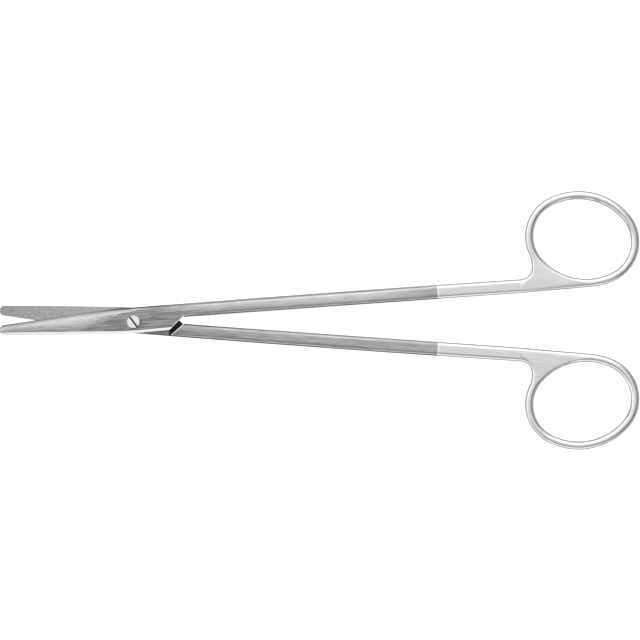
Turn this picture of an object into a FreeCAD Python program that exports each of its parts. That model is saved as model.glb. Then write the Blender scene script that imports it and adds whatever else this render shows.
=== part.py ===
import FreeCAD, Part
import Sketcher
import math
import os

from FreeCAD import Vector

doc = FreeCAD.newDocument("dissecting_scissors")
sheet = doc.addObject("Spreadsheet::Sheet", "sizes")

# Driving sizes, in millimetres and degrees. The halves are described closed, with the
# pivot axis at x = 0, y = 0, the blades towards -x and the finger rings towards +x.
SIZES = {
    # the screw joint
    "lap_thickness": 1.95,
    "lap_gap": 0.03,
    "grinding_allowance": 0.04,
    "ground_end": 12.0,
    "box_half_width": 3.62,
    "joint_taper": 0.035,
    "pivot_offset": 0.43,
    "slant_front": 9.7,
    "slant_back": 13.5,
    "shoulder_front": 10.6,
    "shoulder_back": 13.9,
    "shoulder_width": 3.3,
    "open_angle": 7.5,
    # the blades
    "blade_length": 36.85,
    "blade_flat_radius": 8.0,
    "blade_rise": 5.0,
    "spine_belly": 0.45,
    "edge_start": 6.4,
    "tip_thickness": 1.15,
    "tip_width": 2.6,
    "tip_round": 1.25,
    "tip_end_turn": 80.0,
    "tip_edge_offset": 0.95,
    "edge_land": 0.15,
    "bevel_start": 14.0,
    "bevel_share": 0.9,
    "bevel_fullness": 0.4,
    "spine_chamfer": 0.8,
    "chamfer_slope": 0.8,
    # the brazed cutting edges
    "insert_width": 1.35,
    "insert_thickness": 0.6,
    "insert_start": 5.0,
    # the shanks
    "shank_gap": 0.06,
    "shank_inner_back": 0.5,
    "shank_outer_front": 3.45,
    "shank_outer_middle": 4.15,
    "shank_outer_back": 4.35,
    "shank_round": 1.2,
    "round_fullness": 0.85,
    "shank_length": 107.0,
    # the finger rings
    "ring_setback": 2.2,
    "ring_stand_off": 0.93,
    "ring_long_opening": 27.1,
    "ring_short_opening": 21.7,
    "ring_end_radius": 9.45,
    "ring_tilt": 15.0,
    "ring_width": 2.3,
    "bow_depth": 3.3,
    "rounding_share": 0.46,
    "crotch_setback": 3.5,
    "crotch_radius": 3.2,
    "neck_radius": 5.0,
    "neck_straight": 0.2,
    "bow_tongue": 0.5,
    # the pivot screw
    "screw_diameter": 2.2,
    "head_diameter": 3.57,
    "head_height": 0.95,
    "head_proud": 0.12,
    "slot_width": 0.45,
    "slot_depth": 0.4,
    "slot_angle": 127.0,
    "screw_running_gap": 0.03,
    "screw_thread_gap": 0.01,
    "head_gap": 0.04,
    "slot_reach": 1.3,
}

for row, (alias, number) in enumerate(SIZES.items(), start=1):
    sheet.set(f"A{row}", alias)
    sheet.set(f"B{row}", str(number))
    sheet.setAlias(f"B{row}", alias)
doc.recompute()


def size(alias):
    return float(getattr(sheet, alias))


# The joint plane is where the two laps meet, and each half swings half of the open angle.
joint_plane = size("lap_thickness")
half_angle = size("open_angle") / 2
stack_height = 2 * joint_plane

# How far a cutting shape reaches past what it cuts, and past the whole part, and the
# smallest length that counts as one.
margin = 2.0
far_off = 20.0
hair = 0.001

# The ends and steps of the lofts, and how the blade thins over its rounded tip.
blade_steps = 12
tip_steps = 5
shank_steps = 4
tip_thinning = 0.55
chamfer_fullness = 0.12

# A rounded edge is made of three chords: an even chamfer, then a small one on its two ends.
first_chamfer = 2 - math.sqrt(2)
second_chamfer = 0.25


def arc_height(reach, rise, length):
    """Height at a reach of an arc that starts level and has a rise at a length."""
    radius = (length**2 + rise**2) / (2 * rise)
    return radius - math.sqrt(max(radius**2 - reach**2, 0.0))


def blade_reach(x):
    """How far a place on the blade lies past the flat of the joint, kept at zero before it."""
    return max(-x - size("blade_flat_radius"), 0.0)


curve_length = size("blade_length") - size("blade_flat_radius")


def inner_face(x):
    """Height of the face along which the blades pass each other."""
    return joint_plane + arc_height(blade_reach(x), size("blade_rise"), curve_length)


def blade_thickness(x):
    """The blade thins evenly from the joint to its tip."""
    share = blade_reach(x) / curve_length
    allowance = size("grinding_allowance") * max(1 - 4 * share, 0.0)
    thinning = size("lap_thickness") - size("tip_thickness")
    return size("lap_thickness") - thinning * share + allowance


def outer_edge(x):
    """Plan line of the cutting edge, the joint's upper side and the shank's outer side."""
    start = size("edge_start")
    front, back = size("shank_outer_front"), size("shank_outer_back")
    if x < -start:
        along = (-start - x) / (size("blade_length") - start)
        return front - (front - size("tip_edge_offset")) * along
    share = (x + start) / (size("shank_length") + start)
    crown = size("shank_outer_middle") - (front + back) / 2
    return front + (back - front) * share + crown * 4 * share * (1 - share)


def spine(x):
    """Plan line of the blade's back, which runs on as the joint's lower side."""
    box = size("box_half_width")
    if x > 0:
        return -box + size("joint_taper") * x
    tip = size("tip_edge_offset") - size("tip_width")
    share = -x / size("blade_length")
    return -box + (box + tip) * share - size("spine_belly") * share * (1 - share)


def ring_reach(direction):
    """How far the ring's outer edge reaches from its centre along a direction."""
    long_half = size("ring_long_opening") / 2 + size("ring_width")
    short_half = size("ring_short_opening") / 2 + size("ring_width")
    turned = math.radians(direction + size("ring_tilt"))
    return math.hypot(long_half * math.cos(turned), short_half * math.sin(turned))


# The ring's centre, placed so that the ring clears the shank's end and its inner side.
ring_x = size("shank_length") + size("ring_setback") + ring_reach(0.0)
ring_y = size("ring_stand_off") + ring_reach(90.0)
neck_x = size("shank_length") + size("crotch_setback")


def inner_edge(x):
    """Plan line of the shank's inner side, which leaves the middle line evenly."""
    front = size("shank_gap") / 2
    share = (x - size("slant_back")) / (size("shank_length") - size("slant_back"))
    return front + (size("shank_inner_back") - front) * share


def corner(x, start, pole, end, fullness):
    """A section's corner: a curve that bulges towards the sharp corner by its fullness."""
    middle = ((start[0] + end[0]) / 2, (start[1] + end[1]) / 2)
    bulge = (
        middle[0] + (pole[0] - middle[0]) * fullness,
        middle[1] + (pole[1] - middle[1]) * fullness,
    )
    curve = Part.BezierCurve()
    curve.setPoles([Vector(x, *start), Vector(x, *bulge), Vector(x, *end)])
    return curve.toShape()


def section(x, side_in, side_out, low, high, in_cut, out_cut):
    """One cross-section of a half. A cut is a corner's width, height and fullness."""
    in_width, in_height, in_full = in_cut
    out_width, out_height, out_full = out_cut
    points = [
        (side_in + in_width, low),
        (side_out - out_width, low),
        (side_out, low + out_height),
        (side_out, high - out_height),
        (side_out - out_width, high),
        (side_in + in_width, high),
        (side_in, high - in_height),
        (side_in, low + in_height),
    ]
    poles = [(side_out, low), (side_out, high), (side_in, high), (side_in, low)]
    fullness = [out_full, out_full, in_full, in_full]
    edges = []
    for i in range(4):
        a, b = points[2 * i], points[2 * i + 1]
        c = points[(2 * i + 2) % 8]
        edges.append(Part.makeLine(Vector(x, *a), Vector(x, *b)))
        edges.append(corner(x, b, poles[i], c, fullness[i]))
    return Part.Wire(edges)


def blade_section(x, narrowing=1.0):
    """The blade and joint as forged, before the passing face is cut."""
    middle = (outer_edge(x) + spine(x)) / 2
    half_width = (outer_edge(x) - spine(x)) / 2 * narrowing
    thick = blade_thickness(x) * (1 - tip_thinning * (1 - narrowing))
    face = inner_face(x)
    ground = min(max(-x / size("bevel_start"), 0.0), 1.0)
    chamfer = size("spine_chamfer") * narrowing
    round_off = size("shank_round") * narrowing
    free_width = 2 * half_width - chamfer
    bevel_width = round_off + (free_width * size("bevel_share") - round_off) * ground
    bevel_height = round_off + (thick - size("edge_land") - round_off) * ground
    fullness = size("round_fullness") * (1 - ground) + size("bevel_fullness") * ground
    back_cut = (chamfer, chamfer * size("chamfer_slope"), chamfer_fullness)
    edge_cut = (bevel_width, bevel_height, fullness)
    low, high = face - thick, face + thick
    return section(x, middle - half_width, middle + half_width, low, high, back_cut, edge_cut)


def shank_section(x, share):
    """The shank between the joint and the ring, with four rounded corners."""
    depth_front = 2 * (size("lap_thickness") + size("grinding_allowance"))
    depth = depth_front * (1 - share) + size("bow_depth") * share
    cut = size("shank_round") * (1 - share) + edge_rounding() * share
    low, high = joint_plane - depth / 2, joint_plane + depth / 2
    rounded = (cut, cut, size("round_fullness"))
    return section(x, inner_edge(x), outer_edge(x), low, high, rounded, rounded)


def prism(points, low, high):
    """An upright block over a plan outline."""
    corners = [Vector(x, y, low) for x, y in points]
    face = Part.Face(Part.makePolygon(corners + corners[:1]))
    return face.extrude(Vector(0, 0, high - low))


def pivot_in_half(on_top):
    """The pivot's place in a half that is still drawn closed, along its own middle line."""
    offset = size("pivot_offset")
    turn = math.radians(half_angle)
    if on_top:
        return Vector(-offset * math.sin(turn), -offset * math.cos(turn), 0)
    return Vector(offset * math.sin(turn), offset * math.cos(turn), 0)


def passing_zone(on_top, low_offset, high_offset):
    """The space of revolution about the pivot between two heights over the inner face."""
    reach = size("blade_length") + margin
    flat = size("blade_flat_radius")
    length = curve_length
    rise = size("blade_rise")
    over = reach - flat
    middle = over / 2

    def on_face(distance, offset):
        lift = arc_height(distance, rise, length)
        return Vector(flat + distance, 0, joint_plane + lift + offset)

    def side(offset):
        start = Vector(0, 0, joint_plane + offset)
        level = Part.makeLine(start, on_face(0, offset))
        arc = Part.Arc(on_face(0, offset), on_face(middle, offset), on_face(over, offset))
        return [level, arc.toShape()]

    lower, upper = side(low_offset), side(high_offset)
    outer = Part.makeLine(on_face(over, low_offset), on_face(over, high_offset))
    axis = Part.makeLine(
        Vector(0, 0, joint_plane + low_offset), Vector(0, 0, joint_plane + high_offset)
    )
    face = Part.Face(Part.Wire(Part.__sortEdges__(lower + upper + [outer, axis])))
    turned = face.revolve(Vector(0, 0, 0), Vector(0, 0, 1), 180)
    turned.rotate(Vector(0, 0, 0), Vector(0, 0, 1), 90)
    turned.translate(pivot_in_half(on_top))
    return turned


def shoulder_block(on_top):
    """What is milled away in front of the shoulder to leave the lap."""
    gap = size("lap_gap") / 2
    front, back = size("shoulder_front"), size("shoulder_back")
    slope = (back - front) / size("shoulder_width")
    top = size("box_half_width") + margin
    start = -margin
    plan = [
        (start, -far_off),
        (back + far_off * slope, -far_off),
        (back - top * slope, top),
        (start, top),
    ]
    if on_top:
        return prism(plan, -far_off, joint_plane + gap)
    return prism(plan, joint_plane - gap, far_off)


def slant_block():
    """What is trimmed off the joint's lower back corner, up to the shank's inner side."""
    front, back = size("slant_front"), size("slant_back")
    low, high = spine(front), inner_edge(back)
    end = size("shoulder_back") + margin
    slope = (back - front) / (high - low)
    below = low - margin
    plan = [(front - margin * slope, below), (back, high), (end, high), (end, below)]
    return prism(plan, -far_off, far_off)


def blade_tip():
    """The blunt end of the blade, rounded in plan and thinned towards its end."""
    start = size("tip_round") - size("blade_length")
    wires = []
    for step in range(tip_steps + 1):
        turn = math.radians(size("tip_end_turn")) * step / tip_steps
        x = start - size("tip_round") * math.sin(turn)
        wires.append(blade_section(x, math.cos(turn)))
    return Part.makeLoft(wires, True, True)


def grinding_blocks():
    """What is ground off to leave the joint's outer faces flat."""
    start = -size("ground_end")
    length = size("shank_length") - start
    upper = Part.makeBox(length, 2 * far_off, far_off, Vector(start, -far_off, stack_height))
    lower = Part.makeBox(length, 2 * far_off, far_off, Vector(start, -far_off, -far_off))
    return [upper, lower]


def blade_and_joint(on_top):
    """The forged blade with its lap, cut to its passing face, shoulder and slant."""
    first = size("tip_round") - size("blade_length")
    last = size("shoulder_back")
    stations = [first + (last - first) * i / blade_steps for i in range(blade_steps + 1)]
    forging = Part.makeLoft([blade_section(x) for x in stations], True, True)
    forging = forging.fuse(blade_tip())
    gap = size("lap_gap") / 2
    if on_top:
        milled = passing_zone(on_top, -far_off, gap)
    else:
        milled = passing_zone(on_top, -gap, far_off)
    return forging.cut(milled).cut(shoulder_block(on_top)).cut(slant_block())


def shank():
    """The long bar between the joint and the web, which thins evenly towards its end."""
    start = size("shoulder_back")
    length = bow_start() - start
    shares = [i / shank_steps for i in range(shank_steps + 1)]
    wires = [shank_section(start + length * share, share) for share in shares]
    return Part.makeLoft(wires, True, True)


def ring_arcs(grow):
    """The opening's oval grown outwards: four arcs, each a centre, radius, start and turn."""
    long_half = size("ring_long_opening") / 2 + grow
    short_half = size("ring_short_opening") / 2 + grow
    end_radius = size("ring_end_radius") + grow
    along = long_half - end_radius
    spare = short_half - end_radius
    across = (along**2 - spare**2) / (2 * spare)
    side_radius = short_half + across
    end_turn = 2 * math.degrees(math.atan2(across, along))
    side_turn = 180 - end_turn
    return [
        ((along, 0), end_radius, -end_turn / 2, end_turn),
        ((0, -across), side_radius, end_turn / 2, side_turn),
        ((-along, 0), end_radius, 180 - end_turn / 2, end_turn),
        ((0, across), side_radius, 180 + end_turn / 2, side_turn),
    ]


def bow_start():
    """Where the shank ends and the one-piece web and ring begin."""
    return neck_x - size("crotch_radius") - size("bow_tongue")


def edge_rounding():
    """The rounding along the edges of the web and ring."""
    return min(size("ring_width"), size("bow_depth")) * size("rounding_share")


def tangent_angle(start, centre, radius):
    """The angle on a circle where a line from a start point touches its lower side."""
    away_x, away_y = start[0] - centre[0], start[1] - centre[1]
    return math.atan2(away_y, away_x) + math.acos(radius / math.hypot(away_x, away_y))


def arc_edge(centre, radius, start, end):
    """A plan arc from a start angle round to an end angle, in radians."""
    circle = Part.Circle(Vector(*centre, 0), Vector(0, 0, 1), radius)
    return circle.toShape(start, end)


def placed_arcs(grow):
    """The opening's arcs, grown outwards, tilted and carried to the ring's place."""
    tilt = math.radians(size("ring_tilt"))
    arcs = []
    for (x, y), radius, start, turn in ring_arcs(grow):
        centre = (
            ring_x + x * math.cos(tilt) + y * math.sin(tilt),
            ring_y + y * math.cos(tilt) - x * math.sin(tilt),
        )
        first = math.radians(start) - tilt
        arcs.append((centre, radius, first, first + math.radians(turn)))
    return arcs


def bow_outline():
    """The plan outline of the web and ring, from the shank's end round and back to it."""
    right, top, left, bottom = placed_arcs(size("ring_width"))
    start = bow_start()
    inner_start = (start, inner_edge(start))
    outer_y = outer_edge(start)

    full_turn = 2 * math.pi
    touch_angle = tangent_angle(inner_start, *bottom[:2]) + full_turn
    if touch_angle < bottom[3]:
        low_arcs = [(*bottom[:2], touch_angle, bottom[3]), right]
    else:
        touch_angle = tangent_angle(inner_start, *right[:2])
        low_arcs = [(*right[:2], touch_angle, right[3])]
    (touch_x, touch_y), touch_radius = low_arcs[0][:2]
    touch = (
        touch_x + touch_radius * math.cos(touch_angle),
        touch_y + touch_radius * math.sin(touch_angle),
    )

    neck_radius = size("neck_radius")
    neck_centre_x = neck_x - neck_radius
    between = left[1] + neck_radius
    drop = math.sqrt(between**2 - (left[0][0] - neck_centre_x) ** 2)
    neck_y = left[0][1] - drop
    neck_angle = math.atan2(drop, left[0][0] - neck_centre_x)

    crotch = min(size("crotch_radius"), neck_y - outer_y - size("neck_straight"))
    crotch_centre = (neck_x - crotch, outer_y + crotch)

    line_ends = [
        [inner_start, touch],
        [(neck_x, neck_y), (neck_x, outer_y + crotch)],
        [(neck_x - crotch, outer_y), (start, outer_y)],
        [(start, outer_y), inner_start],
    ]
    edges = [Part.makeLine(Vector(*a, 0), Vector(*b, 0)) for a, b in line_ends]
    edges += [arc_edge(*arc) for arc in low_arcs]
    edges += [
        arc_edge(*top),
        arc_edge(left[0], left[1], left[2], math.pi + neck_angle),
        arc_edge((neck_centre_x, neck_y), neck_radius, 0, neck_angle),
        arc_edge(crotch_centre, crotch, -math.pi / 2, 0),
    ]
    return Part.Wire(Part.__sortEdges__(edges))


def level_edges(plate):
    """The edges round the plate's two level faces, apart from those across the shank's end."""
    behind = bow_start() + hair
    return [e for e in plate.Edges if e.BoundBox.ZLength < hair and e.BoundBox.XMax > behind]


def bow():
    """The flat web and its finger ring, cut in one piece and rounded all along its edges."""
    opening = Part.Face(Part.Wire([arc_edge(*arc) for arc in placed_arcs(0.0)]))
    depth = Vector(0, 0, size("bow_depth"))
    plate = Part.Face(bow_outline()).extrude(depth).cut(opening.extrude(depth))
    radius = edge_rounding()
    plate = plate.makeChamfer(radius * first_chamfer, level_edges(plate))
    plate = plate.makeChamfer(radius * second_chamfer, level_edges(plate))
    plate.translate(Vector(0, 0, joint_plane) - depth / 2)
    return plate.Solids[0]


def insert_zone(on_top):
    """The pocket along the cutting edge that the hard strip fills."""
    start = -size("insert_start")
    end = -size("blade_length") - margin
    width = size("insert_width")
    plan = [(start, outer_edge(start) + margin), (start, outer_edge(start) - width)]
    plan += [(end, outer_edge(end) - width), (end, outer_edge(end) + margin)]
    block = prism(plan, -far_off, far_off)
    if on_top:
        zone = passing_zone(on_top, 0.0, size("insert_thickness"))
    else:
        zone = passing_zone(on_top, -size("insert_thickness"), 0.0)
    return block.common(zone)


def place_half(shape, on_top):
    """The upper half swings one way, and its mirror image swings the other way."""
    if not on_top:
        shape = shape.mirror(Vector(0, 0, 0), Vector(0, 1, 0))
    turn = half_angle if on_top else -half_angle
    shape = shape.copy()
    shape.rotate(Vector(0, 0, 0), Vector(0, 0, 1), turn)
    shape.translate(Vector(0, size("pivot_offset"), 0))
    return shape


def make_half(name, on_top):
    """One forged half and its hard cutting edge, as document objects."""
    blade = blade_and_joint(on_top)
    zone = insert_zone(on_top)
    strip = doc.addObject("Part::Feature", name.replace("half", "cutting_insert"))
    strip.Shape = place_half(blade.common(zone), on_top)
    whole = blade.cut(zone).fuse([shank(), bow()]).cut(grinding_blocks())
    forging = doc.addObject("Part::Feature", name.replace("half", "forging"))
    forging.Shape = place_half(whole.removeSplitter(), on_top)

    bore = doc.addObject("Part::Cylinder", name.replace("half", "bore"))
    gap = "screw_running_gap" if on_top else "screw_thread_gap"
    bore.setExpression("Radius", f"sizes.screw_diameter / 2 + sizes.{gap}")
    bore.setExpression("Height", "sizes.lap_thickness * 4")
    bore.setExpression(".Placement.Base.z", "-sizes.lap_thickness")
    tool = bore
    if on_top:
        seat = doc.addObject("Part::Cylinder", "head_seat")
        seat.setExpression("Radius", "sizes.head_diameter / 2 + sizes.head_gap")
        seat.setExpression("Height", "sizes.lap_thickness * 2")
        depth = "sizes.head_height - sizes.head_proud + sizes.screw_running_gap"
        seat.setExpression(".Placement.Base.z", f"2 * sizes.lap_thickness - ({depth})")
        tool = doc.addObject("Part::Fuse", "near_drilling")
        tool.Base = bore
        tool.Tool = seat
    half = doc.addObject("Part::Cut", name)
    half.Base = forging
    half.Tool = tool
    return half, strip


def origin_plane(body, role):
    return next(f for f in body.Origin.OriginFeatures if f.Role == role)


def make_screw():
    """The slotted pivot screw, turned in one piece and ground flush underneath."""
    body = doc.addObject("PartDesign::Body", "pivot_screw")
    profile = body.newObject("Sketcher::SketchObject", "screw_profile")
    profile.AttachmentSupport = [(origin_plane(body, "XZ_Plane"), "")]
    profile.MapMode = "FlatFace"
    shaft = size("screw_diameter") / 2
    head = size("head_diameter") / 2
    top = stack_height + size("head_proud")
    under = top - size("head_height")
    low = size("lap_gap") / 2
    corners = [(0, low), (shaft, low), (shaft, under), (head, under), (head, top), (0, top)]
    for i, (x, z) in enumerate(corners):
        nx, nz = corners[(i + 1) % 6]
        profile.addGeometry(Part.LineSegment(Vector(x, z, 0), Vector(nx, nz, 0)), False)
    for i in range(6):
        profile.addConstraint(Sketcher.Constraint("Coincident", i, 2, (i + 1) % 6, 1))
    for i in (0, 2, 4):
        profile.addConstraint(Sketcher.Constraint("Horizontal", i))
    for i in (1, 3):
        profile.addConstraint(Sketcher.Constraint("Vertical", i))
    profile.addConstraint(Sketcher.Constraint("PointOnObject", 0, 1, -2))
    profile.addConstraint(Sketcher.Constraint("PointOnObject", 5, 1, -2))
    named = [
        ("foot", (-1, 1, 0, 1), "DistanceY", low, "lap_gap / 2"),
        ("shaft_radius", (0, 1, 0, 2), "DistanceX", shaft, "screw_diameter / 2"),
        ("head_radius", (4, 2, 4, 1), "DistanceX", head, "head_diameter / 2"),
        ("head_depth", (3, 1, 3, 2), "DistanceY", top - under, "head_height"),
        ("head_top", (-1, 1, 4, 2), "DistanceY", top, "lap_thickness * 2 + sizes.head_proud"),
    ]
    for label, ends, kind, value, formula in named:
        index = profile.addConstraint(Sketcher.Constraint(kind, *ends, value))
        profile.renameConstraint(index, label)
        profile.setExpression(f"Constraints.{label}", f"sizes.{formula}")
    turned = body.newObject("PartDesign::Revolution", "screw_turning")
    turned.Profile = profile
    turned.ReferenceAxis = (profile, ["V_Axis"])
    turned.Angle = 360
    doc.recompute()

    slot = body.newObject("Sketcher::SketchObject", "slot_outline")
    slot.AttachmentSupport = [(origin_plane(body, "XY_Plane"), "")]
    slot.MapMode = "FlatFace"
    slot.setExpression(".AttachmentOffset.Base.z", "2 * sizes.lap_thickness + sizes.head_proud")
    slot.setExpression(".AttachmentOffset.Rotation.Angle", "sizes.slot_angle")
    slot.AttachmentOffset.Rotation.Axis = Vector(0, 0, 1)
    long_half = head * size("slot_reach")
    wide_half = size("slot_width") / 2
    box = [(-long_half, -wide_half), (long_half, -wide_half)]
    box += [(long_half, wide_half), (-long_half, wide_half)]
    for i, (x, y) in enumerate(box):
        nx, ny = box[(i + 1) % 4]
        slot.addGeometry(Part.LineSegment(Vector(x, y, 0), Vector(nx, ny, 0)), False)
    for i in range(4):
        slot.addConstraint(Sketcher.Constraint("Coincident", i, 2, (i + 1) % 4, 1))
    for i in (0, 2):
        slot.addConstraint(Sketcher.Constraint("Horizontal", i))
    for i in (1, 3):
        slot.addConstraint(Sketcher.Constraint("Vertical", i))
    slot.addConstraint(Sketcher.Constraint("Symmetric", 0, 1, 2, 1, -1, 1))
    for label, line, value, formula in (
        ("slot_length", 0, 2 * long_half, "head_diameter * sizes.slot_reach"),
        ("slot_width", 1, 2 * wide_half, "slot_width"),
    ):
        index = slot.addConstraint(Sketcher.Constraint("Distance", line, value))
        slot.renameConstraint(index, label)
        slot.setExpression(f"Constraints.{label}", f"sizes.{formula}")
    cut = body.newObject("PartDesign::Pocket", "driver_slot")
    cut.Profile = slot
    cut.setExpression("Length", "sizes.slot_depth")
    doc.recompute()
    if cut.Shape.Volume >= turned.Shape.Volume:
        cut.Reversed = True
    return body


near_half, near_insert = make_half("near_half", True)
far_half, far_insert = make_half("far_half", False)
screw = make_screw()
doc.recompute()

nodes = {
    "near_half": near_half,
    "far_half": far_half,
    "near_cutting_insert": near_insert,
    "far_cutting_insert": far_insert,
    "pivot_screw": screw,
}
for item in doc.Objects:
    if "Invalid" in item.State or "Error" in item.State:
        raise RuntimeError(f"{item.Name} did not build: {item.State}")
for name, item in nodes.items():
    item.Label = name
    if item.Shape.isNull() or not item.Shape.isValid():
        raise RuntimeError(f"{name} has no valid shape")
    if len(item.Shape.Solids) != 1:
        raise RuntimeError(f"{name} has {len(item.Shape.Solids)} solids instead of 1")

os.makedirs("parts", exist_ok=True)
for name, item in nodes.items():
    item.Shape.exportStep(f"parts/{name}.step")
    print(name, round(item.Shape.Volume, 2))
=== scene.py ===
import math

import bmesh
import bpy
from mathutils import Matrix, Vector


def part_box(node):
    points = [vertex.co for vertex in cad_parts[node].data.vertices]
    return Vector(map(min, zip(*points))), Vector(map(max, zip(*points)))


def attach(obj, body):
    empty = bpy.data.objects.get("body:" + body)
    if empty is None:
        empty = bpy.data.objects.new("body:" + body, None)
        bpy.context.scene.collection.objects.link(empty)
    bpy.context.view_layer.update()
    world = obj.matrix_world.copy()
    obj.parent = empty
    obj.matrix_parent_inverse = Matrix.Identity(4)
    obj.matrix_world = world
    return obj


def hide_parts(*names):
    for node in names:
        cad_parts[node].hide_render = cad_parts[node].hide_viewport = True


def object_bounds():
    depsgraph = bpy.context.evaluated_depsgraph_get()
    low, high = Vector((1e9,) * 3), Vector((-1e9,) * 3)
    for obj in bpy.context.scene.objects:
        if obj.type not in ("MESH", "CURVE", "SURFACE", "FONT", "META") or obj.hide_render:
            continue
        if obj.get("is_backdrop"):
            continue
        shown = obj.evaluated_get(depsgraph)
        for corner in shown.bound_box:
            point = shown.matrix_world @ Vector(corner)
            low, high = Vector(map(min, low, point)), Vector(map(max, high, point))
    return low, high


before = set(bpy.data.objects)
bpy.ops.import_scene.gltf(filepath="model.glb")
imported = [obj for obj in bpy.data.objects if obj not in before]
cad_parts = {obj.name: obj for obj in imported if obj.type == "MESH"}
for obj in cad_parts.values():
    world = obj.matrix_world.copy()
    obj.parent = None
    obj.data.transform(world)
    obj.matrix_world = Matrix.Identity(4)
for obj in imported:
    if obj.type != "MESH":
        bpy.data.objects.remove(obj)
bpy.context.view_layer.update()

# The camera looks straight down on the scissors, as a catalogue picture is taken. The
# picture's width spans them as they lie at rest, from the tips to the end of the rings.
PICTURE_PIXELS = 640
TIP_PIXEL, RING_PIXEL = 0.8, 639.0
CAMERA_HEIGHT = 1.6
CAMERA_Y = 0.00052
SENSOR_WIDTH = 36.0
CLIP_START = 0.01
low, high = (Vector(corner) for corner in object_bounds())
metres_per_pixel = (high.x - low.x) / (RING_PIXEL - TIP_PIXEL)
centre_x = low.x + (PICTURE_PIXELS / 2 - TIP_PIXEL) * metres_per_pixel
camera_data = bpy.data.cameras.new("camera")
camera_data.sensor_width = SENSOR_WIDTH
camera_data.lens = SENSOR_WIDTH * CAMERA_HEIGHT / (PICTURE_PIXELS * metres_per_pixel)
camera_data.clip_start = CLIP_START
camera = bpy.data.objects.new("camera", camera_data)
camera.location = (centre_x, CAMERA_Y, CAMERA_HEIGHT)
bpy.context.scene.collection.objects.link(camera)
bpy.context.scene.camera = camera
bpy.context.scene.view_settings.view_transform = "Standard"

# The table is a plain pale sheet, lit evenly. What mirrors it meets a darker card instead,
# which gives the polished edges of the steel their thin grey outlines.
TABLE_HALF = 1.5
TABLE_DROP = 0.00005
PAPER_TONE = 0.9
PAPER_GLOW, CARD_GLOW = 0.8, 0.46
WHITE = (1.0, 1.0, 1.0, 1.0)
table_mesh = bpy.data.meshes.new("table")
table_mesh.from_pydata(
    [(-TABLE_HALF, -TABLE_HALF, 0), (TABLE_HALF, -TABLE_HALF, 0),
     (TABLE_HALF, TABLE_HALF, 0), (-TABLE_HALF, TABLE_HALF, 0)],
    [], [(0, 1, 2, 3)],
)
table = bpy.data.objects.new("table", table_mesh)
table.location = (centre_x, 0, -TABLE_DROP)
bpy.context.scene.collection.objects.link(table)
table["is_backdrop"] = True


def add_node(tree, kind, inputs=(), output=0, **settings):
    """Adds a node, sets it, feeds its sockets with values or links, and gives an output."""
    made = tree.nodes.new(kind)
    for key, value in settings.items():
        setattr(made, key, value)
    for name, value in dict(inputs).items():
        if isinstance(value, Socket):
            tree.links.new(value.output, made.inputs[name])
        else:
            made.inputs[name].default_value = value
    return Socket(tree, made.outputs[output])


class Socket:
    """A value in a node tree that sums, products and quotients can be written with."""

    def __init__(self, tree, output):
        self.tree = tree
        self.output = output

    def _math(self, operation, *values):
        return add_node(self.tree, "ShaderNodeMath", enumerate(values), operation=operation)

    def __add__(self, other):
        return self._math("ADD", self, other)

    def __radd__(self, other):
        return self._math("ADD", other, self)

    def __sub__(self, other):
        return self._math("SUBTRACT", self, other)

    def __rsub__(self, other):
        return self._math("SUBTRACT", other, self)

    def __mul__(self, other):
        return self._math("MULTIPLY", self, other)

    def __rmul__(self, other):
        return self._math("MULTIPLY", other, self)

    def __truediv__(self, other):
        return self._math("DIVIDE", self, other)

    def __rtruediv__(self, other):
        return self._math("DIVIDE", other, self)

    def __abs__(self):
        return self._math("ABSOLUTE", self)

    def at_least(self, lowest):
        return self._math("MAXIMUM", self, lowest)

    def at_most(self, highest):
        return self._math("MINIMUM", self, highest)

    def rise(self, start, end):
        """0 below start, 1 above end, and a straight ramp between."""
        return ((self - start) / (end - start)).at_least(0.0).at_most(1.0)

    def fall(self, start, end):
        """1 below start, 0 above end, and a straight ramp between."""
        return 1 - self.rise(start, end)

    def towards(self, target, share):
        """This value moved towards a target by a share of the way."""
        return self + (target - self) * share

    def parts(self):
        """The x, y and z of a vector."""
        first = add_node(self.tree, "ShaderNodeSeparateXYZ", {0: self})
        return [Socket(self.tree, output) for output in first.output.node.outputs]


class Finish:
    """A material under construction."""

    def __init__(self, name):
        self.material = bpy.data.materials.new(name)
        self.material.use_nodes = True
        self.tree = self.material.node_tree
        self.shader = self.tree.nodes["Principled BSDF"]

    def node(self, kind, inputs=(), output=0, **settings):
        return add_node(self.tree, kind, inputs, output, **settings)

    def feed(self, name, value):
        """Gives one of the shader's own sockets a value or a link."""
        if isinstance(value, Socket):
            self.tree.links.new(value.output, self.shader.inputs[name])
        else:
            self.shader.inputs[name].default_value = value

    def place(self):
        return self.node("ShaderNodeTexCoord", output="Object")

    def facing(self):
        return self.node("ShaderNodeTexCoord", output="Normal")

    def join(self, x, y, z):
        return self.node("ShaderNodeCombineXYZ", {0: x, 1: y, 2: z})

    def noise(self, vector, scale, detail=2.0, rough=0.5):
        return self.node(
            "ShaderNodeTexNoise",
            {"Vector": vector, "Scale": scale, "Detail": detail, "Roughness": rough},
        )

    def grey(self, value, tint=(1.0, 1.0, 1.0)):
        """A grey that follows a value, tinted evenly."""
        return self.join(*(value * channel for channel in tint))

    def bump(self, height, distance, strength=1.0):
        return self.node(
            "ShaderNodeBump", {"Height": height, "Distance": distance, "Strength": strength}
        )


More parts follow.
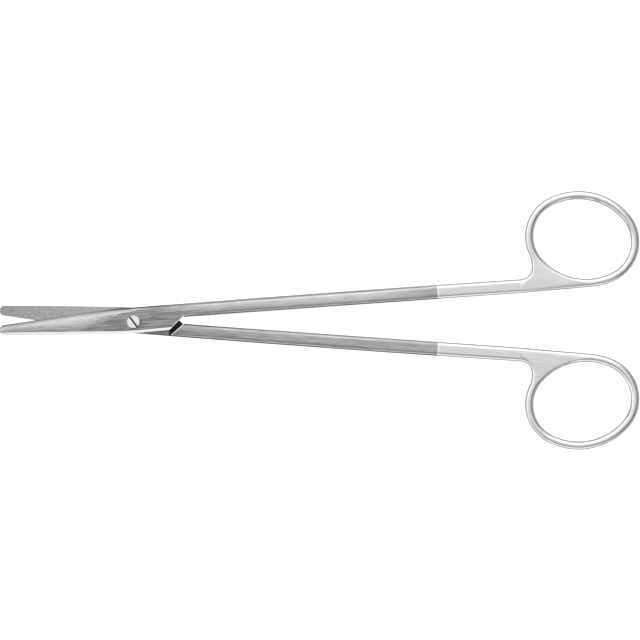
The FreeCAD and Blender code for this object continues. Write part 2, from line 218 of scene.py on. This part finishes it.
def paper_finish():
    """A lit white sheet with a faint fibre, and the darker card in its place in mirrors."""
    finish = Finish("table_paper")
    fibre = finish.noise(finish.place(), 900.0, 3.0)
    finish.feed("Base Color", finish.grey(PAPER_TONE + (fibre - 0.5) * 0.01))
    finish.feed("Roughness", 0.9)
    finish.feed("Emission Color", WHITE)
    finish.feed("Emission Strength", PAPER_GLOW)
    mirrored = finish.node("ShaderNodeLightPath", output="Is Glossy Ray")
    card = finish.node("ShaderNodeEmission", {"Color": WHITE, "Strength": CARD_GLOW})
    lit = Socket(finish.tree, finish.shader.outputs[0])
    mixed = finish.node("ShaderNodeMixShader", {0: mirrored, 1: lit, 2: card})
    surface = finish.tree.nodes["Material Output"].inputs["Surface"]
    finish.tree.links.new(mixed.output, surface)
    return finish.material


table_mesh.materials.append(paper_finish())

# One long soft box stands on the far side of the table and looks at the middle of the
# picture. It adds to the studio's glow.
BOX_PLACE = Vector((centre_x, 0.80, 0.75))
BOX_LENGTH, BOX_DEPTH = 1.8, 0.35
BOX_POWER = 1.5
box_data = bpy.data.lights.new("far_soft_box", "AREA")
box_data.shape = "RECTANGLE"
box_data.size, box_data.size_y = BOX_LENGTH, BOX_DEPTH
box_data.energy = BOX_POWER
soft_box = bpy.data.objects.new("far_soft_box", box_data)
soft_box.location = BOX_PLACE
box_look = Vector((centre_x, 0, 0)) - BOX_PLACE
soft_box.rotation_euler = box_look.to_track_quat("-Z", "Y").to_euler()
bpy.context.scene.collection.objects.link(soft_box)

# The studio is a pale glow from all round. It is darker straight above, low down except on
# the near side, high up on the near side, and to the right, where the rings lie.
STUDIO_GLOW = 1.3
OVERHEAD_SHADE, LOW_SHADE, NEAR_SHADE, RIGHT_SHADE = 0.34, 0.40, 0.6, 0.75
world = bpy.data.worlds.new("studio")
world.use_nodes = True
bpy.context.scene.world = world
studio = world.node_tree
right_side, far_side, up = add_node(studio, "ShaderNodeTexCoord", output="Generated").parts()
near_side = (0.0 - far_side).rise(0.05, 0.4)
overhead = up.rise(0.70, 0.93) * far_side.fall(0.05, 0.30)
low_down = up.fall(0.10, 0.40) * (1 - near_side)
near_and_high = near_side * up.rise(0.50, 0.65)
glow = STUDIO_GLOW * (1 - overhead * OVERHEAD_SHADE) * (1 - low_down * LOW_SHADE)
glow = glow * (1 - near_and_high * NEAR_SHADE)
glow = glow * (1 - right_side.rise(0.25, 0.55) * RIGHT_SHADE * up.rise(0.1, 0.3))
studio.links.new(glow.output, studio.nodes["Background"].inputs["Strength"])
studio.nodes["Background"].inputs["Color"].default_value = WHITE


# The lower half is one forging: blade, lap, shank, web and finger ring. It is brushed along
# its length, its ring end is plated, and its passing face is ground fine. The values down
# to SLANT_SLOPE follow the solid, in metres, and the others belong to the finish.
SWING = math.radians(3.75)
PASSING_LEVEL = 0.00195
PIVOT_OFFSET = 0.00043
BLADE_FLAT = 0.008
BLADE_CURVE = 6.0
SHOULDER_X = 0.0139
SLANT_X = 0.0135
SLANT_SLOPE = 1.15
SHOULDER_LINE = 0.00035
PLATING_START = 0.0843
CROWN_DEPTH = 0.00048
GRAIN_DEPTH = 0.000004
SHARP_ANGLE = math.radians(24)
WELD_DISTANCE = 0.000001
STEEL_TINT = (1.0, 1.0, 1.01)
SATIN_TONE, PLATED_TONE, GROUND_TONE = 0.31, 0.77, 0.53
SPINE_HIGHLIGHT_TONE, LIT_WALL_TONE, LIT_LINE_TONE = 0.78, 0.95, 1.0
WALL_SHADE, LAP_SHADE, RECESS_SHADE = 0.62, 0.35, 0.93
EDGE_LINE_SHADE, SEAT_SHADE = 0.6, 0.6


def smooth_copy(node_name, piece_name):
    """The node's own form with its triangles joined, so that its curves shade smoothly."""
    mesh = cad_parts[node_name].data.copy()
    work = bmesh.new()
    work.from_mesh(mesh)
    bmesh.ops.remove_doubles(work, verts=work.verts, dist=WELD_DISTANCE)
    for face in work.faces:
        face.smooth = True
    for edge in work.edges:
        edge.smooth = edge.calc_face_angle(0.0) < SHARP_ANGLE
    work.to_mesh(mesh)
    work.free()
    mesh.materials.clear()
    piece = bpy.data.objects.new(piece_name, mesh)
    bpy.context.scene.collection.objects.link(piece)
    shading = piece.modifiers.new("flats_stay_flat", "WEIGHTED_NORMAL")
    shading.mode = "FACE_AREA"
    shading.keep_sharp = True
    return piece


class HalfSteel(Finish):
    """A finish laid out on one half of the scissors, in metres. along runs from the screw to
    the ring, ahead from the screw to the tip, and to_spine from the middle line to the
    blade's spine. level is the height with the blade's curve taken out. swing is the half's
    turn at rest. passing_side is +1 where the passing face looks up and -1 where it looks
    down."""

    def __init__(self, name, swing, passing_side):
        super().__init__(name)
        self.point = self.place()
        self.x, self.y, self.z = self.point.parts()
        self.along = self.x * math.cos(swing) + self.y * math.sin(swing)
        self.ahead = 0 - self.along
        self.across = self.y * math.cos(swing) - self.x * math.sin(swing)
        self.to_spine = (self.across - PIVOT_OFFSET) * passing_side
        self.to_shoulder = SHOULDER_X + self.to_spine - self.along
        curved = (self.ahead - BLADE_FLAT).at_least(0.0)
        self.level = self.z - curved * curved * BLADE_CURVE
        self.off_passing_face = (self.level - PASSING_LEVEL) * (0 - passing_side)

        flat_facing = self.node("ShaderNodeNewGeometry", output="True Normal").parts()
        self.inward = flat_facing[2] * passing_side
        self.outer = (self.inward * -1).rise(0.2, 0.5)
        self.facing_far, facing_up = self.facing().parts()[1:]
        self.flatness = abs(facing_up)

        self.plated = self.along.rise(PLATING_START, PLATING_START + 0.0002)
        self.lap = self.inward.rise(0.9, 0.97) * abs(self.z - PASSING_LEVEL).fall(0.0001, 0.0002)

    def bevel(self):
        """The blade's ground bevel, on its outer side."""
        return self.flatness.fall(0.93, 0.99) * self.outer * self.ahead.rise(-0.004, 0.002)

    def spine_strip(self):
        """The chamfer along the blade's spine, where a highlight is painted."""
        chamfer = self.flatness.fall(0.80, 0.92) * self.flatness.rise(0.60, 0.70) * self.outer
        return chamfer * self.to_spine.rise(0.0008, 0.0014) * self.along.fall(0.010, 0.014)

    def edge_shade_line(self):
        """A line of painted shade along the cutting edge, on the outer side of its land."""
        near_edge = self.outer * self.off_passing_face.fall(0.00017, 0.00039)
        return near_edge * self.ahead.rise(0.003, 0.006)

    def lap_gap_shade(self):
        """Painted shade in the lap's gap, between the other half's slant and its own shoulder.
        """
        return (self.lap * self.to_shoulder.fall(0.0022, 0.0030)
                * self.along.rise(0.0097, 0.0101))

    def joint_lines(self):
        """The thin lit edges of the shoulder and of the slant."""
        to_slant = SLANT_X - self.to_spine * SLANT_SLOPE - self.along
        slant_line = to_slant.fall(0.00015, 0.0003) * self.outer
        shoulder_line = (
            (self.to_shoulder + SHOULDER_LINE).rise(0, 0.0001) * self.to_shoulder.fall(0, 0.0001)
        )
        at_joint = self.along.rise(0.0085, 0.0095) * self.along.fall(0.0138, 0.0142)
        inner = self.inward.rise(0.2, 0.5)
        return (shoulder_line * inner * (1 - self.lap) + slant_line) * at_joint

    def seat_shadow(self):
        """The dark crescent round the screw's seat, at its lower right in the picture."""
        squared_radius = self.x * self.x + self.y * self.y
        ring = (squared_radius.rise(0.0000032, 0.0000034)
                * squared_radius.fall(0.0000037, 0.0000042))
        return ring * (self.x - self.y).rise(0.0006, 0.0014) * self.z.rise(0.0030, 0.0035)


def forged_steel(name, swing, passing_side, lighter=0.0):
    """Steel that is brushed lengthwise, ground on its passing face and plated at its ring
    end. lighter is added to the ground face's tone. Its tone also holds painted shade on the
    side walls, on the lap, in the lap's gap, along the cutting edge and round the screw's
    seat, and painted highlights on the far-facing walls, the spine's chamfer, the shank's
    crown, the plating's edge and the joint's edges."""
    steel = HalfSteel(name, swing, passing_side)
    along, outer, plated, flatness = steel.along, steel.outer, steel.plated, steel.flatness
    fine = steel.noise(steel.join(along * 0.05, steel.across, steel.level), 4200.0)
    broad = steel.noise(steel.join(along * 0.03, steel.across, steel.level), 1300.0)
    grain = steel.noise(steel.point, 3000.0, 2.0, 0.6)
    streak_strength = 0.75 - along.rise(0.012, 0.020) * (0.15 + outer * 0.25)
    streaks = ((fine - 0.5) + (broad - 0.5) * 0.35) * streak_strength

    passing = steel.inward.rise(0.8, 0.9) * steel.ahead.rise(0.004, 0.006)
    walls = flatness.fall(0.45, 0.8)
    lit_walls = walls * steel.facing_far.rise(0.0, 0.3) * (1 - plated) * along.rise(0.006, 0.016)
    plating_line = abs(along - PLATING_START).fall(0.0001, 0.0003)
    towards_rim = (0 - steel.to_spine).rise(0.0006, 0.0040)
    crown_and_highlight = along.rise(0.0, 0.014) * along.fall(0.066, 0.084) * outer
    bevel = steel.bevel()

    satin = SATIN_TONE + along.rise(0.010, 0.020) * 0.08 + along.rise(0.02, 0.05) * 0.05
    satin = satin + streaks * (1 - bevel * 0.7) + bevel * 0.10
    # A painted highlight lightens the shank's outer face towards its rim, over the crown that
    # the bump gives.
    satin = satin + towards_rim * crown_and_highlight * 0.09
    bright = PLATED_TONE + streaks * 0.35
    ground = GROUND_TONE + lighter + (grain - 0.5) * 0.9 + steel.ahead.rise(0.016, 0.034) * 0.10

    tone = satin.towards(bright, plated).towards(LIT_LINE_TONE, plating_line)
    # A highlight is painted on the spine's chamfer.
    tone = tone.towards(SPINE_HIGHLIGHT_TONE, steel.spine_strip())
    # Painted shade darkens the steep side walls, and painted highlights light the far-facing
    # ones.
    tone = tone * (1 - walls * WALL_SHADE * (1 - plated))
    tone = tone.towards(LIT_WALL_TONE, lit_walls).towards(ground, passing)
    # Painted shade in the lap's gap.
    tone = tone * (1 - steel.lap_gap_shade() * RECESS_SHADE)
    # Painted shade along the cutting edge.
    tone = tone * (1 - steel.edge_shade_line() * EDGE_LINE_SHADE)
    tone = tone * (1 - steel.seat_shadow() * SEAT_SHADE)
    # Painted shade on the lap, away from the screw.
    tone = tone * (1 - steel.lap * along.rise(0.001, 0.003) * LAP_SHADE)
    tone = tone + (LIT_LINE_TONE - tone) * steel.joint_lines() * flatness.rise(0.6, 0.8)
    steel.feed("Base Color", steel.grey(tone, STEEL_TINT))
    steel.feed("Metallic", 1.0)
    steel.feed("Roughness", 0.30 + (broad - 0.5) * 0.08 + passing * 0.15 - plated * 0.12)
    brushing = (fine * (1 - passing) + grain * passing) * GRAIN_DEPTH
    crown = towards_rim * towards_rim * crown_and_highlight * -CROWN_DEPTH
    steel.feed("Normal", steel.bump(brushing + crown, 1.0))
    return steel.material


lower = smooth_copy("far_half", "lower_half_forging")
lower.data.materials.append(forged_steel("lower_satin_steel", -SWING, 1.0))
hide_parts("far_half")
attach(lower, "lower_half")


# The upper half is the mirrored forging with the same finish. It is drilled and sunk for
# the screw's head, and its passing face looks down.
upper = smooth_copy("near_half", "upper_half_forging")
upper.data.materials.append(forged_steel("upper_satin_steel", SWING, -1.0))
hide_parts("near_half")
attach(upper, "upper_half")


# Each blade's cutting edge is a strip of hard metal, brazed into a step of the forging and
# ground flush with it. It has the grain of the passing face and is a shade lighter there.
STRIP_LIGHTER = 0.02
cutting_strips = {}
for node_name, piece_name, body, side in (
    ("far_cutting_insert", "lower_cutting_strip", "lower_half", 1.0),
    ("near_cutting_insert", "upper_cutting_strip", "upper_half", -1.0),
):
    strip = smooth_copy(node_name, piece_name)
    metal = forged_steel(piece_name + "_metal", -SWING * side, side, STRIP_LIGHTER)
    strip.data.materials.append(metal)
    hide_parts(node_name)
    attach(strip, body)
    cutting_strips[body] = strip


# A hairline bead of braze stands where each strip's back comes out on the blade's outer
# face. It is silver alloy that flowed out of the joint and was brushed down.
BEAD_RADIUS = 0.00004
BEAD_SIDES = 8
BEAD_FRONT = -0.0352
STRIP_BACK = (0.00055, 0.00065)
SEAM_ANGLE = math.radians(15)
LEVEL_FACE = 0.3
BRAZE_TONE = 0.48
BRAZE_TINT = (1.0, 0.99, 0.96)


def seam_edges(strip, swing, side):
    """The strip's edges along its back's outer corner, as points and pairs of points."""
    work = bmesh.new()
    work.from_mesh(strip.data)
    places, pairs, numbers = [], [], {}

    def on_seam(vertex):
        along = vertex.co.x * math.cos(swing) + vertex.co.y * math.sin(swing)
        curved = max(0.0, -along - BLADE_FLAT)
        depth = (PASSING_LEVEL - (vertex.co.z - curved * curved * BLADE_CURVE)) * side
        return STRIP_BACK[0] < depth < STRIP_BACK[1] and along > BEAD_FRONT

    for edge in work.edges:
        level_faces = all(abs(face.normal.z) > LEVEL_FACE for face in edge.link_faces)
        bent = edge.calc_face_angle(0.0) > SEAM_ANGLE
        if level_faces and bent and all(map(on_seam, edge.verts)):
            for vertex in edge.verts:
                if vertex.index not in numbers:
                    numbers[vertex.index] = len(places)
                    places.append(tuple(vertex.co))
            pairs.append(tuple(numbers[vertex.index] for vertex in edge.verts))
    work.free()
    return places, pairs


def bead_tree(material):
    """Sweeps a round bead along a line of edges. Gives the tree, and the identifiers of its
    radius and sides inputs."""
    tree = bpy.data.node_groups.new("braze_bead", "GeometryNodeTree")
    outside = tree.interface
    outside.new_socket("Seam", in_out="INPUT", socket_type="NodeSocketGeometry")
    radius = outside.new_socket("Bead radius", in_out="INPUT", socket_type="NodeSocketFloat")
    sides = outside.new_socket("Bead sides", in_out="INPUT", socket_type="NodeSocketInt")
    outside.new_socket("Bead", in_out="OUTPUT", socket_type="NodeSocketGeometry")
    seam_edge, bead_radius, bead_sides = (
        add_node(tree, "NodeGroupInput", output=name)
        for name in ("Seam", "Bead radius", "Bead sides")
    )
    line = add_node(tree, "GeometryNodeMeshToCurve", {"Mesh": seam_edge})
    ring = add_node(tree, "GeometryNodeCurvePrimitiveCircle",
                    {"Radius": bead_radius, "Resolution": bead_sides})
    swept = add_node(tree, "GeometryNodeCurveToMesh",
                     {"Curve": line, "Profile Curve": ring, "Fill Caps": True})
    real = add_node(tree, "GeometryNodeRealizeInstances", {"Geometry": swept})
    dressed = add_node(tree, "GeometryNodeSetMaterial",
                       {"Geometry": real, "Material": material})
    tree.links.new(dressed.output, tree.nodes.new("NodeGroupOutput").inputs["Bead"])
    return tree, radius.identifier, sides.identifier


def braze_metal():
    """Dull silver alloy with a fine grain."""
    finish = Finish("braze")
    grain = finish.noise(finish.place(), 5200.0, 3.0, 0.65)
    finish.feed("Base Color", finish.grey(BRAZE_TONE + (grain - 0.5) * 0.5, BRAZE_TINT))
    finish.feed("Metallic", 1.0)
    finish.feed("Roughness", 0.38 + (grain - 0.5) * 0.2)
    finish.feed("Normal", finish.bump(grain * GRAIN_DEPTH, 1.0))
    return finish.material


bead_nodes, radius_input, sides_input = bead_tree(braze_metal())
for body, piece_name, side in (
    ("lower_half", "lower_braze_bead", 1.0),
    ("upper_half", "upper_braze_bead", -1.0),
):
    places, pairs = seam_edges(cutting_strips[body], -SWING * side, side)
    seam = bpy.data.meshes.new(piece_name + "_seam")
    seam.from_pydata(places, pairs, [])
    bead = bpy.data.objects.new(piece_name, seam)
    bpy.context.scene.collection.objects.link(bead)
    sweep = bead.modifiers.new("bead_along_seam", "NODES")
    sweep.node_group = bead_nodes
    sweep[radius_input] = BEAD_RADIUS
    sweep[sides_input] = BEAD_SIDES
    view = bpy.context.evaluated_depsgraph_get()
    made = bpy.data.meshes.new_from_object(bead.evaluated_get(view))
    bead.modifiers.clear()
    bead.data = made
    for polygon in made.polygons:
        polygon.use_smooth = True
    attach(bead, body)


# The pivot screw is turned steel with a sawn slot. Its head is sunk in the upper half and
# stands a little proud, and its foot is ground flush with the lower half.
HEAD_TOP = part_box("pivot_screw")[1].z
HEAD_TONE = 0.90
RIM_SHADE, SLOT_SHADE = 0.9, 0.99


def screw_metal():
    """Bright turned steel, with painted shade in its slot and along the rim's lower right."""
    finish = Finish("screw_steel")
    point = finish.place()
    x, y, z = point.parts()
    facing_up = finish.facing().parts()[2]
    grain = finish.noise(point, 4200.0, 3.0, 0.7)
    in_slot = (HEAD_TOP - z).rise(0.00003, 0.00012) * facing_up.rise(-0.5, -0.1)
    rim = (x * x + y * y).rise(0.0000027, 0.0000030)
    shaded_rim = rim * (x - y).rise(0.0006, 0.0014)
    tone = HEAD_TONE + (grain - 0.5) * 0.6
    tone = tone * (1 - shaded_rim * RIM_SHADE) * (1 - in_slot * SLOT_SHADE)
    finish.feed("Base Color", finish.grey(tone))
    finish.feed("Metallic", 1.0)
    finish.feed("Roughness", 0.42 + (grain - 0.5) * 0.2)
    finish.feed("Normal", finish.bump(grain, 0.00001, 0.6))
    return finish.material


screw = smooth_copy("pivot_screw", "slotted_pivot_screw")
screw.data.materials.append(screw_metal())
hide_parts("pivot_screw")
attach(screw, "lower_half")
